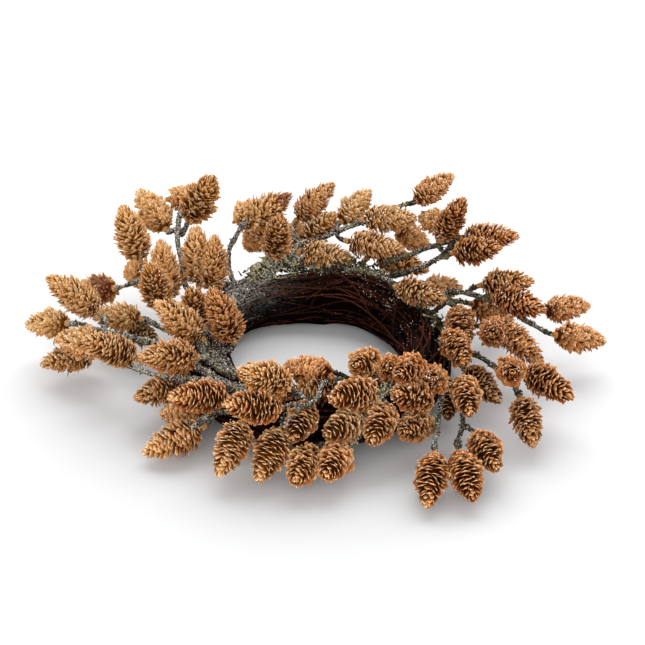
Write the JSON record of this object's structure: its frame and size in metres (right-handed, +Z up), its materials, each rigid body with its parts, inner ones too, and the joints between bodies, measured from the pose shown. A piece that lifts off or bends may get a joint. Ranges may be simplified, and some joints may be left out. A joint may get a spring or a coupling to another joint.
{
  "type": "wheat candle ring",
  "caption": "Table ring of bundled dark vine strands, dressed with frosted forked twigs of small tan cones, open in the middle for a candle.",
  "frame": {"origin": "on the table under the middle of the ring's hole, which is also about the middle of the whole outline", "axes": "+X to the right and +Y to the back as the object is seen from its front, +Z up out of the table"},
  "size_m": [0.3513, 0.2776, 0.0881],
  "materials": {
    "vine": "rough dry bark",
    "spray": "matt dry cone scales",
    "bark": "rough grey bark",
    "frost": "white sparkle crumbs",
    "lichen": "soft dry lichen"
  },
  "bodies": {
    "root": {"vine_ring": "vine", "spray_back_left": "spray", "spray_left_back": "spray", "spray_left": "spray", "spray_left_low": "spray", "spray_left_inner": "spray", "spray_front_left": "spray", "spray_front": "spray", "spray_front_middle": "spray", "spray_front_right_inner": "spray", "spray_front_right": "spray", "spray_right_front": "spray", "spray_right": "spray", "spray_right_back": "spray", "spray_back_right": "spray", "spray_back": "spray", "spray_back_middle": "spray"}
  },
  "joints": []
}
